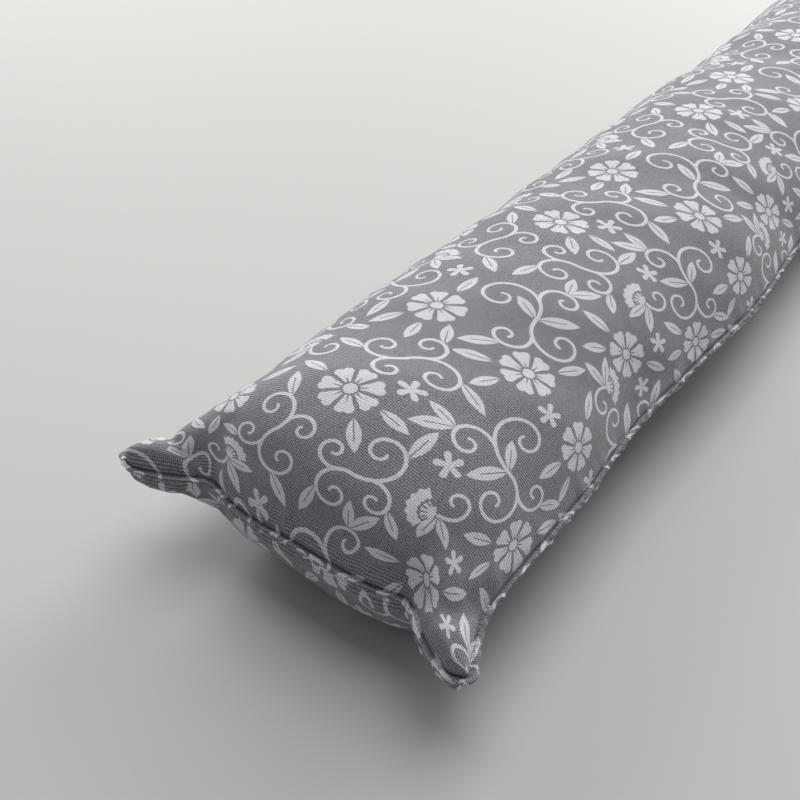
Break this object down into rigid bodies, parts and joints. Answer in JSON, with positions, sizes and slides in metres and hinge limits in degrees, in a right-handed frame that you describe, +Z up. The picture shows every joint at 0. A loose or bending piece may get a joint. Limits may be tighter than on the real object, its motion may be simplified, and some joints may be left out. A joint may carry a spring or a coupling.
{
  "type": "draught excluder",
  "caption": "Long stuffed cloth draught excluder with a crowned round body, blunt ears at its corners and an edge-stitched seam roll all round.",
  "frame": {"origin": "middle of the footprint, on the surface it rests on", "axes": "+X along the length, +Y across the width, +Z up"},
  "size_m": [0.8586, 0.192, 0.0883],
  "materials": {
    "printed_cloth": "mid grey plain-weave cotton printed with an off-white floral scroll",
    "stitched_edge": "the same cloth turned in, puckered and stitched through"
  },
  "bodies": {
    "root": {"cushion": "printed_cloth", "edge_roll": "stitched_edge"}
  },
  "joints": []
}
